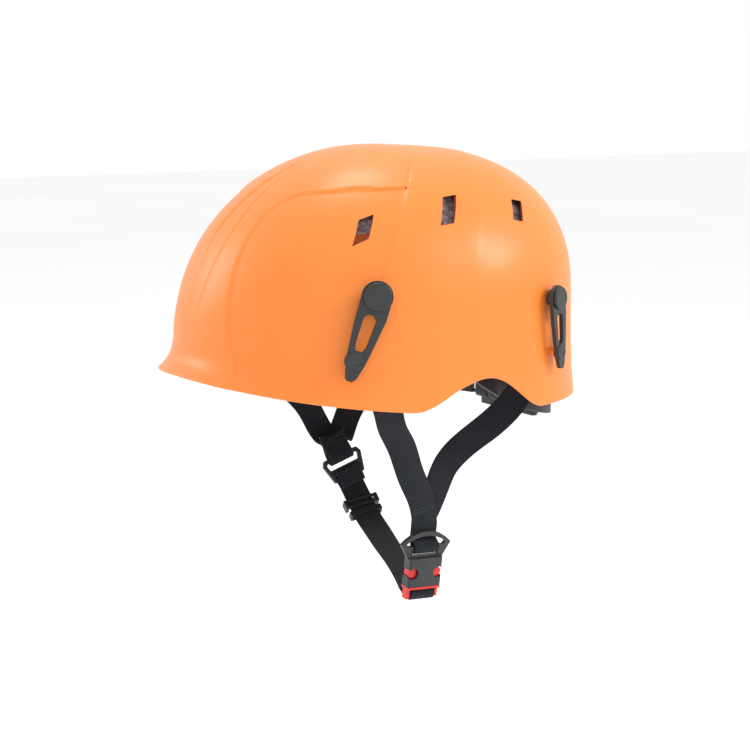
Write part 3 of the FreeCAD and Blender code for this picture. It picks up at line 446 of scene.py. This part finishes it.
def relief(points):
    """Depth, in millimetres, of the creases pressed into the shell; never above its surface."""
    x, y, z = np.abs(points[..., 0]), points[..., 1], points[..., 2]
    column = np.interp(z, (-25, 8, 38, 60, 76, 84, 89, 92, 93, 115),
                       (50, 38, 32, 28, 27, 30, 38, 58, 70, 90))
    back = np.interp(x, (0, 35, 67, 80), (12, 6, -16, -26))
    plateau = step(column - x, 2.6) * step(back - y, 2.0)
    ahead = smooth((18 - y) / 22)
    depth = -0.85 * (1 - plateau) * ahead
    depth = depth - 0.38 * (1 - ahead)
    shoulder = np.interp(z, (28, 32, 44, 69, 92, 107), (-53, -54, -49, -35, -17, -1))
    front = step(shoulder - y, 2.2) * smooth((z - 24) / 14) * (1 - plateau)
    fade = 1 - smooth((shoulder - y) / 62)
    depth = depth - 0.75 * front * fade
    rear_line = np.interp(x, (0, 26, 67, 93, 110), (60, 55, 37, 22, 8))
    depth = depth - 0.32 * step(y - rear_line, 2.4) * smooth((z - 40) / 30)
    groove = np.interp(z, (15, 45, 70, 88, 104), (7, 9, 10, 7, 4))
    strength = smooth((z - 4) / 22) * smooth((108 - z) / 8) * smooth((-30 - y) / 20)
    depth = depth - 0.75 * strength * np.exp(-((x - groove) / 1.5) ** 2)
    depth = depth - 0.28 * strength * step(groove - x, 1.8)
    foot_line = -7 + (y + 56) * 0.5
    along = smooth((y + 62) / 6) * smooth((-26 - y) / 12)
    depth = depth - 0.5 * along * step(foot_line - z, 1.6) * np.exp(-np.maximum(
        0, foot_line - z) / 9)
    rear_foot = -6 - (y - 70) * 1.1
    along = smooth((y - 66) / 4) * smooth((84 - y) / 5)
    depth = depth - 0.4 * along * step(rear_foot - z, 1.4) * np.exp(-np.maximum(
        0, rear_foot - z) / 6)
    return np.minimum(depth, 0)


VENTS = (((-62.3, 59.1), (-51.5, 63.6), (-43.7, 77.5), (-53.7, 74.4)),
         ((-5.6, 69.9), (4.4, 71.0), (14.0, 87.2), (3.8, 86.2)),
         ((49.9, 70.8), (58.4, 69.2), (64.8, 81.0), (55.9, 82.7)))


def prism(corners, low, high):
    """A prism along X from (y, z) corners."""
    count = len(corners)
    points = [(x, y, z) for x in (low, high) for y, z in corners]
    faces = [tuple(range(count)), tuple(range(2 * count - 1, count - 1, -1))]
    for k in range(count):
        other = (k + 1) % count
        faces.append((k, k + count, other + count, other))
    return np.array(points, float), faces


def cylinder(place, up, radius, low, high, mirror, sides=40):
    angles = np.linspace(0, 2 * math.pi, sides, endpoint=False)
    points = [place.point(radius * math.cos(a), up + radius * math.sin(a), z)
              for z in (low, high) for a in angles]
    points = np.array(points)
    if mirror:
        points[:, 0] *= -1
    faces = [tuple(range(sides)), tuple(range(2 * sides - 1, sides - 1, -1))]
    for k in range(sides):
        other = (k + 1) % sides
        faces.append((k, k + sides, other + sides, other))
    return points, faces


def build_shell():
    around, dome_rows, skirt_rows = 640, 120, 46
    turns = np.linspace(0, 2 * math.pi, around, endpoint=False)
    rows = [dome_point(turns, np.full(around, reach))
            for reach in np.linspace(0, 1, dome_rows + 1)[1:]]
    bottom = rim_height(turns) + WALL / 2
    for k in range(1, skirt_rows + 1):
        rows.append(skirt_point(turns, mix(equator_height(turns), bottom, k / skirt_rows)))
    base = np.array(rows)
    down = np.gradient(base, axis=0)
    along = (np.roll(base, -1, 1) - np.roll(base, 1, 1)) / 2
    normal = unit(np.cross(down, along))
    outer = base + normal * relief(base)[..., None]
    inner = base - normal * WALL
    lowest = unit(down[-1])
    middle = (outer[-1] + inner[-1]) / 2
    half = np.linalg.norm(outer[-1] - inner[-1], axis=1)[:, None] / 2
    rim = [middle + half * (normal[-1] * math.cos(a) + lowest * math.sin(a))
           for a in np.linspace(0, math.pi, 9)[1:-1]]
    everything = np.concatenate([outer, np.array(rim), inner[::-1]])
    count = everything.shape[0]
    faces = grid_faces(count, around)
    points = everything.reshape(-1, 3)
    crown = relief(np.array([[0, 0, CROWN]]))[0]
    points = np.concatenate([points, [[0, 0, CROWN + crown], [0, 0, CROWN - WALL]]])
    top, under = len(points) - 2, len(points) - 1
    last = (count - 1) * around
    for c in range(around):
        d = (c + 1) % around
        faces.append((top, d, c))
        faces.append((under, last + c, last + d))
    skin = mesh_object("shell_skin", points, faces, ORANGE)
    tree = BVHTree.FromPolygons([Vector(p) for p in points[:(dome_rows + skirt_rows) * around]],
                                grid_faces(dome_rows + skirt_rows, around))
    cutters = []
    for corners in VENTS:
        cutters.append(prism(corners, 50, 125))
        cutters.append(prism(corners, -125, -50))
    for place, scale in ((FRONT, 1.0), (REAR, CLIP_SCALES["rear"])):
        for up, radius in ((0, 3.0), (-CLIP_REACH, 2.2)):
            for mirror in (False, True):
                bore = radius * scale + 0.1
                cutters.append(cylinder(place, up * scale, bore, -12, 12, mirror))
    cutter = mesh_object("cutter", *gather(cutters), ORANGE)
    for item in (skin, cutter):
        mesh = bmesh.new()
        mesh.from_mesh(item.data)
        bmesh.ops.recalc_face_normals(mesh, faces=mesh.faces)
        mesh.to_mesh(item.data)
        mesh.free()
    cut = skin.modifiers.new("cut", "BOOLEAN")
    cut.operation = "DIFFERENCE"
    cut.solver = "MANIFOLD"
    cut.object = cutter
    apply_modifiers(skin)
    bpy.data.objects.remove(cutter)
    skin.data.shade_smooth()
    skin.data.set_sharp_from_angle(angle=math.radians(38))
    skin.data.materials.clear()
    skin.data.materials.append(ORANGE)
    skin.data.materials.append(INSIDE)
    skin.data.materials.append(CUT)
    outside_slot, inside_slot, cut_slot = range(3)
    chosen = []
    for polygon in skin.data.polygons:
        centre = np.array(polygon.center) / MM
        facing = np.dot(np.array(polygon.normal), unit(centre - np.array([0, 0, 10.0])))
        _, _, _, distance = tree.find_nearest(Vector(centre))
        # Inner faces get the darker inside orange, which is painted shade.
        if facing < -0.45 and distance > 0.8:
            chosen.append(inside_slot)
        # Vent walls get the dark red, which is painted shade.
        elif distance > 0.1 and centre[2] > 45 and facing < 0.8:
            chosen.append(cut_slot)
        else:
            chosen.append(outside_slot)
    skin.data.polygons.foreach_set("material_index", chosen)
    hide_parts("outer_shell")
    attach(skin, "helmet")
    build_vent_lips(tree)


def build_vent_lips(tree):
    """A fine rolled edge round each vent."""
    parts = []
    for corners in VENTS:
        corners = np.array(corners)
        middle = corners.mean(0)
        corners = middle + (corners - middle) * 1.03
        edge = []
        for k in range(4):
            a, b, c = corners[k - 1], corners[k], corners[(k + 1) % 4]
            round_off = 1.1
            start, end = b + unit(a - b) * round_off, b + unit(c - b) * round_off
            for share in (0, 0.25, 0.5, 0.75, 1):
                edge.append((1 - share) ** 2 * start + 2 * share * (1 - share) * b
                            + share ** 2 * end)
            following = corners[(k + 1) % 4]
            far = following + unit(b - following) * round_off
            for share in np.linspace(0, 1, 12)[1:-1]:
                edge.append(mix(end, far, share))
        for side in (1, -1):
            line = []
            for y, z in edge:
                hit, normal, _, _ = tree.ray_cast(Vector((side * 150.0, y, z)),
                                                  Vector((-side, 0, 0)))
                if normal.x * side < 0:
                    normal = -normal
                line.append(np.array(hit) - np.array(normal) * 0.2)
            parts.append(tube(line, 0.3))
    lips = mesh_object("vent_lips", *gather(parts), ORANGE)
    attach(lips, "helmet")


# ---------------------------------------------------------------- webbing


LEFT_FRONT = ((83, -49, -20), (78, -35.5, -44.6), (73, -29.8, -55.4), (68, -21.2, -66.7),
              (60.5, -8.8, -89.4), (56, 1.3, -107))
LEFT_REAR = ((53, 10.5, -109.5), (55.5, 13.4, -99.2), (59.5, 16.7, -86), (64, 29.4, -71.4),
             (72.1, 38.4, -61.5), (80.9, 53.7, -43.9))
LEFT_REAR_TWIST = (0.66, np.array((0.406, 0.558, -0.703)))
RIGHT_FRONT = ((-86, -42, -22), (-86, -22, -48), (-84, -3.6, -67.7), (-77, 6.2, -87))
RIGHT_REAR = ((-75.5, 13.5, -89.5), (-82, 26, -74), (-85, 44, -55), (-84, 62, -35))
CHIN = ((-52, 18.7, -129), (-43, 19, -136.9), (-30, 18.5, -143.9), (-14, 16.1, -150),
        (5, 13.3, -156.5), (24, 9.6, -163.4))
ANCHOR_LOOP = ((-37, -4.1), (-31, -4.1), (-27.5, -4.1), (-24.2, -4.9), (-23.1, -6.4),
               (-24.2, -8.1), (-27.5, -8.8), (-32, -8.9))


def arc(up, out, radius, start, end, count):
    angles = np.radians(np.linspace(start, end, count))
    return [(up + radius * math.cos(a), out + radius * math.sin(a)) for a in angles]


def local_path(place, points, across=1, mirror=False):
    entries = []
    for up, out in points:
        point, side = place.point(0, up, out), place.axes[0] * across
        if mirror:
            point, side = point * (-1, 1, 1), side * (-1, 1, 1)
        entries.append((point, side))
    return entries


def span(before, route, after, count, twist=None):
    """Entries between two fittings; twist is a (share, across) that the tape turns through."""
    points, _ = spline([before[-1][0], *route, after[0][0]], count)
    stops = [(0, before[-1][1]), *([twist] if twist else []), (1, after[0][1])]
    entries = []
    for k, point in enumerate(points):
        share = k / (count - 1)
        near, far = stops[:2] if share <= stops[1][0] else stops[-2:]
        turned = smooth((share - near[0]) / (far[0] - near[0]))
        entries.append((point, unit(near[1] * (1 - turned) + far[1] * turned)))
    return entries[1:-1]


def frames_along(path, spacing):
    """Smooth points, directions, across and outward vectors, and distances along a path."""
    points = np.array([point for point, _ in path])
    sides = np.array([side for _, side in path])
    line, index = spline(points, step=spacing, power=0.5)
    low = np.clip(index.astype(int), 0, len(points) - 2)
    share = (index - low)[:, None]
    across = sides[low] * (1 - share) + sides[low + 1] * share
    along = unit(np.gradient(line, axis=0))
    across = unit(across - along * (along * across).sum(1)[:, None])
    outward = np.cross(along, across)
    travelled = np.concatenate([[0], np.cumsum(np.linalg.norm(np.diff(line, axis=0), axis=1))])
    return line, along, across, outward, travelled


def section():
    """Cross-section of the tape: (across, outward) pairs all the way round."""
    flat = np.linspace(-8.3, 8.3, 23)
    lift = 0.74 - 0.10 * np.exp(-((np.abs(flat) - 6.9) / 0.35) ** 2)
    lift = lift - 0.05 * np.exp(-((np.abs(flat) - 2.4) / 0.3) ** 2)
    top = list(zip(flat, lift))
    right = [(8.3 + 0.68 * math.sin(a), 0.7 * math.cos(a))
             for a in np.radians((30, 60, 90, 120, 150))]
    left = [(-x, -z) for x, z in right]
    under = [(-x, -z) for x, z in top]
    return top + right + under + left


def band(name, path, node, body):
    """One tape along a path; without a body it is left unattached."""
    line, _, across, outward, travelled = frames_along(path, 1.0)
    shape = np.array(section())
    points = (line[:, None] + across[:, None] * shape[None, :, :1]
              + outward[:, None] * shape[None, :, 1:])
    count, sides = len(line), len(shape)
    faces = grid_faces(count, sides)
    faces.append(tuple(range(sides))[::-1])
    faces.append(tuple(range((count - 1) * sides, count * sides)))
    item = mesh_object(name, points.reshape(-1, 3), faces, WEB)
    flow = np.stack([np.repeat(travelled, sides), np.tile(shape[:, 0], count)], 1)
    layer = item.data.uv_layers.new(name="UVMap")
    index = np.zeros(len(item.data.loops), int)
    item.data.loops.foreach_get("vertex_index", index)
    layer.data.foreach_set("uv", flow[index].ravel())
    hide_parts(node)
    if body:
        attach(item, body)
    return item


def stitches(name, path, spots, body, face=1):
    """Rows of stitches across the tape at distances along the path."""
    line, along, across, outward, travelled = frames_along(path, 1.0)
    parts = []
    for distance, slanted in spots:
        k = int(np.searchsorted(travelled, distance))
        for lane in np.linspace(-6.6, 6.6, 9):
            centre = line[k] + across[k] * lane + outward[k] * face * 0.72
            run = across[k] + along[k] * (0.6 if slanted else 0.0)
            parts.append(capsule(centre, run, outward[k], 1.3, 0.42, 0.34))
    item = mesh_object(name, *gather(parts), THREAD)
    layer = item.data.uv_layers.new(name="UVMap")
    layer.data.foreach_set("uv", [0.3] * (2 * len(item.data.loops)))
    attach(item, body)


def build_straps():
    buckle_loop = [(14, -2.7), (10, -2.7), (6.8, -2.75), (5.3, -2.2), (3.85, 0), (2.95, 1.6),
                   *arc(0, 0, 3, 45, 270, 13), (2.2, -3.5), (5.5, -4.45), (9, -4.6), (13.8, -4.6)]
    front = local_path(FRONT, ANCHOR_LOOP)
    ring = local_path(BUCKLE, buckle_loop)
    path = front + span(front, LEFT_FRONT, ring, 24) + ring
    band("left_front_webbing", path, "left_front_strap", "helmet")
    length = frames_along(path, 1.0)[4][-1]
    stitches("left_stitching", path, [(length - 53, False), (length - 51.6, True),
                                      (length - 50.2, False)], "helmet", outward_face(path))
    start = local_path(BUCKLE, [(14.1, -4.6), (18, -4.6)])
    rear = local_path(REAR, ANCHOR_LOOP)[::-1]
    path = start + span(start, LEFT_REAR, rear, 24, LEFT_REAR_TWIST) + rear
    band("left_rear_webbing", path, "left_rear_strap", "helmet")
    guide_loop = [(18, 0.95), (14, 1.3), (9.5, 2.6), *arc(6, 0, 3, 90, 270, 11), (9.5, -2.6),
                  (14, -1.3), (17.8, -0.95)]
    front = local_path(FRONT, ANCHOR_LOOP, mirror=True)
    ring = local_path(GUIDE, guide_loop, -1)
    path = front + span(front, RIGHT_FRONT, ring, 24) + ring
    band("right_front_webbing", path, "right_front_strap", "helmet")
    start = local_path(GUIDE, [(18.1, -0.95), (21, -0.95)], -1)
    rear = local_path(REAR, ANCHOR_LOOP, mirror=True)[::-1]
    path = start + span(start, RIGHT_REAR, rear, 24) + rear
    band("right_rear_webbing", path, "right_rear_strap", "helmet")
    tail = [(-14.5, -2.6), (-12, -3.0), (-7, -3.0), *arc(-2, 0, 3, 270, 90, 11), (-7, 3.0),
            (-11, 2.9), (-14, 1.9)]
    guide = local_path(GUIDE, tail, -1)
    turn = [(-32.0, -8.5), (-33.6, -3.8), *arc(-31, 0, 3, 200, 0, 14), (-28.2, -2.8),
            (-28.4, -6), (-28.2, -11)]
    plug = local_path(BUCKLE, turn)
    path = guide + span(guide, CHIN, plug, 30) + plug
    chin = band("chin_webbing", path, "chin_strap", None)
    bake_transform(chin)


def outward_face(path):
    """Which side of the tape faces away from the head."""
    line, _, _, outward, _ = frames_along(path, 1.0)
    middle = len(line) // 2
    return 1 if outward[middle][0] > 0 else -1


# ---------------------------------------------------------------- pads


def cushion(name, node, shrink, cap):
    """A pad's foam core, remeshed and swollen by cloth pressure inside its CAD solid."""
    mesh = nodes[node].data.copy()
    item = bpy.data.objects.new(name, mesh)
    bpy.context.scene.collection.objects.link(item)
    mesh.materials.clear()
    mesh.materials.append(KNIT)
    remesh = item.modifiers.new("remesh", "REMESH")
    remesh.mode = "VOXEL"
    remesh.voxel_size = PAD_VOXEL
    apply_modifiers(item)
    work = bmesh.new()
    work.from_mesh(item.data)
    bmesh.ops.smooth_vert(work, verts=work.verts, factor=0.5, use_axis_x=True, use_axis_y=True,
                          use_axis_z=True)
    work.normal_update()
    for vertex in work.verts:
        vertex.co -= vertex.normal * shrink * MM
    work.to_mesh(item.data)
    work.free()
    rest = np.array([vertex.co for vertex in item.data.vertices])
    cloth = item.modifiers.new("cloth", "CLOTH")
    cloth.settings.use_pressure = True
    cloth.settings.uniform_pressure_force = 4.0
    cloth.settings.quality = 5
    cloth.settings.effector_weights.gravity = 0
    cloth.point_cache.frame_end = CLOTH_STEPS
    for moment in range(1, CLOTH_STEPS + 1):
        bpy.context.scene.frame_set(moment)
    apply_modifiers(item)
    moved = np.array([vertex.co for vertex in item.data.vertices]) - rest
    far = np.linalg.norm(moved, axis=1, keepdims=True)
    moved *= np.minimum(1, cap * MM / np.maximum(far, 1e-9))
    item.data.vertices.foreach_set("co", (rest + moved).ravel())
    bpy.context.scene.frame_set(1)
    finer = item.modifiers.new("finer", "SUBSURF")
    finer.levels = finer.render_levels = 2
    apply_modifiers(item)
    item.data.shade_smooth()
    item.data.materials.clear()
    item.data.materials.append(KNIT)
    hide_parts(node)
    return item


def channels(item, lines):
    """Presses sewn channels into a pad; lines maps points in mm to a distance from a channel."""
    points = np.array([vertex.co for vertex in item.data.vertices]) / MM
    normals = np.array([vertex.normal for vertex in item.data.vertices])
    press = 0.9 * np.exp(-(lines(points) / 1.6) ** 2)
    item.data.vertices.foreach_set("co", ((points - normals * press[:, None]) * MM).ravel())
    item.data.update()


def build_pads():
    crown = cushion("crown_cushion", "crown_pad", 0.9, 1.4)
    channels(crown, lambda p: np.min([np.abs(p[:, 1] - y) for y in (-24, 0, 24)], axis=0))
    brow = cushion("brow_cushion", "brow_pad", 0.7, 1.1)
    channels(brow, lambda p: np.min([np.abs(p[:, 0] - x) for x in (-48, -24, 0, 24, 48)], axis=0))
    nape = cushion("nape_cushion", "nape_pad", 0.6, 1.0)
    channels(nape, lambda p: np.min([np.abs(p[:, 0] - x) for x in (-18, 0, 18)], axis=0))
    for item, body in ((crown, "helmet"), (brow, "helmet"), (nape, "nape_cradle")):
        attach(item, body)


# ---------------------------------------------------------------- carried-over CAD nodes


FINISH = {
    "foam_liner": (FOAM, 0.8), "clip_rivets": (CLIP, 0.35), "rivet_washers": (CLIP, 0.3),
    "clip_studs": (ORANGE, 0.25), "headband_front": (BLACK, 0.5), "brow_lug": (BLACK, 0.6),
    "headband_hangers": (BLACK, 0.5), "temple_pins": (BLACK, 0.3), "left_rack": (BLACK, 0.0),
    "right_rack": (BLACK, 0.0), "adjuster_housing": (BLACK, 0.5), "adjuster_cover": (BLACK, 0.4),
    "adjuster_pinion": (BLACK, 0.0), "adjuster_knob": (GREY, 0.45), "knob_screw": (STEEL, 0.15),
    "buckle_socket": (CLIP, 0.45), "buckle_plug": (RED, 0.3), "front_prong": (RED, 0.5),
    "rear_prong": (RED, 0.5), "right_strap_guide": (BLACK, 0.5), "strap_slide": (BLACK, 0.5),
    "strap_keeper": (BLACK, 0.5),
}
for ends in ("front", "rear"):
    for hand in ("left", "right"):
        FINISH[f"{ends}_{hand}_anchor"] = (BLACK, 0.4)
        FINISH[f"{ends}_{hand}_clip"] = (CLIP, 0.55)


def soften(item, width):
    """Rounds a moulding's edges by modifiers, leaving its own mesh as it is."""
    weld = item.modifiers.new("weld", "WELD")
    weld.merge_threshold = 0.00002
    if width:
        edge = item.modifiers.new("edge", "BEVEL")
        edge.width = width * MM
        edge.segments = 3
        edge.limit_method = "ANGLE"
        edge.angle_limit = math.radians(35)
        edge.use_clamp_overlap = True
    flat = item.modifiers.new("flat", "WEIGHTED_NORMAL")
    flat.keep_sharp = False
    flat.weight = 90


def dress(name, material, width):
    item = nodes[name]
    item.data.materials.clear()
    item.data.materials.append(material)
    if item.data.has_custom_normals:
        item.data.attributes.remove(item.data.attributes["custom_normal"])
    item.data.shade_smooth()
    if not width:
        item.data.set_sharp_from_angle(angle=math.radians(30))
    soften(item, width)


def build_carried():
    for name, (material, width) in FINISH.items():
        dress(name, material, width)


def disc(place, centre, radius, low, high, edge):
    """A round boss with a rolled edge, on a fitting's face."""
    profile = [(radius, low), (radius, high - edge)]
    for angle in np.radians((22, 45, 68, 90)):
        profile.append((radius - edge + edge * math.cos(angle),
                        high - edge + edge * math.sin(angle)))
    sides = 48
    rings = [place.points([(centre[0] + r * math.cos(a), centre[1] + r * math.sin(a), z)
                           for a in np.linspace(0, 2 * math.pi, sides, endpoint=False)])
             for r, z in profile]
    faces = grid_faces(len(rings), sides)
    faces.append(tuple(range(sides))[::-1])
    faces.append(tuple(range((len(rings) - 1) * sides, len(rings) * sides)))
    return np.concatenate(rings), faces


def build_clip_bosses():
    """The round boss over each clip's stud, with a black bead across it as painted shade for its
    short slit.
    """
    for site, place in (("front", FRONT), ("rear", REAR)):
        scale = CLIP_SCALES[site]
        top = CLIP_FACE * scale
        middle = (-0.6 * scale, -CLIP_REACH * scale)
        boss = disc(place, middle, 5.7 * scale, top - 0.3, top + 0.75, 0.4)
        # A black bead on the lever face, painted shade standing for the short slit; no slit is cut.
        slit_shade = capsule(place.point(2.0 * scale, -42.2 * scale, top + 0.8),
                       place.axes[0] * 0.72 + place.axes[1] * 0.7, place.axes[2],
                       5.2 * scale, 1.1 * scale, 0.3)
        for hand, sign in (("left", 1), ("right", -1)):
            for name, (points, faces), material in ((f"{site}_{hand}_clip_boss", boss, CLIP),
                                                    (f"{site}_{hand}_clip_slit", slit_shade, BLACK)):
                item = mesh_object(name, points * (sign, 1, 1), faces, material, 40)
                mesh = bmesh.new()
                mesh.from_mesh(item.data)
                bmesh.ops.recalc_face_normals(mesh, faces=mesh.faces)
                mesh.to_mesh(item.data)
                mesh.free()
                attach(item, f"{site}_{hand}_lever")


def build_arms():
    """The side arms, which run between the cradle and the rack that each ends in, copied with
    softened edges.
    """
    for hand, sign in (("left", 1), ("right", -1)):
        source = nodes[f"{hand}_arm"]
        item = bpy.data.objects.new(f"{hand}_side_arm", source.data.copy())
        bpy.context.scene.collection.objects.link(item)
        item.data.materials.clear()
        item.data.materials.append(BLACK)
        if item.data.has_custom_normals:
            item.data.attributes.remove(item.data.attributes["custom_normal"])
        item.data.shade_smooth()
        soften(item, 0.5)
        apply_modifiers(item)
        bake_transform(item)
        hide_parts(f"{hand}_arm")


# ---------------------------------------------------------------- camera, floor and light


def look_from(item, place, target):
    item.location = place
    item.rotation_mode = "QUATERNION"
    item.rotation_quaternion = (Vector(target) - Vector(place)).to_track_quat("-Z", "Y")


def lamp(name, place, target, energy, size):
    data = bpy.data.lights.new(name, "AREA")
    data.energy = energy
    data.shape = "DISK"
    data.size = size
    item = bpy.data.objects.new(name, data)
    bpy.context.scene.collection.objects.link(item)
    look_from(item, place, target)


def build_stage():
    scene = bpy.context.scene
    scene.view_settings.view_transform = "Standard"
    scene.view_settings.look = "None"
    scene.view_settings.exposure = 0.0
    data = bpy.data.cameras.new("camera")
    data.sensor_width = 36
    data.lens = 112.0
    data.clip_start, data.clip_end = 0.1, 20
    camera = bpy.data.objects.new("camera", data)
    scene.collection.objects.link(camera)
    look_from(camera, (1.2919, -0.7459, 0.1968), (0.0, 0.0, -0.034))
    scene.camera = camera
    size, drop = 6.0, FLOOR_HEIGHT
    edge = np.array([(-size, -size, drop), (size, -size, drop), (size, size, drop),
                     (-size, size, drop)]) / MM
    floor = mesh_object("studio_floor", edge, [(0, 1, 2, 3)], floor_material())
    world = bpy.data.worlds.new("studio")
    scene.world = world
    world.use_nodes = True
    world.node_tree.nodes["Background"].inputs["Color"].default_value = (1, 1, 1, 1)
    world.node_tree.nodes["Background"].inputs["Strength"].default_value = 1.0
    lamp("key", (1.2, 1.3, 1.0), (0, 0, 0.02), 15, 0.7)
    lamp("top", (-0.5, 0.2, 1.8), (0, 0, 0.02), 10, 0.7)
    lamp("rim", (-1.2, -1.0, 0.6), (0, 0, 0.02), 5, 0.7)


build_shell()
build_straps()
build_pads()
build_carried()
build_clip_bosses()
build_arms()
build_stage()
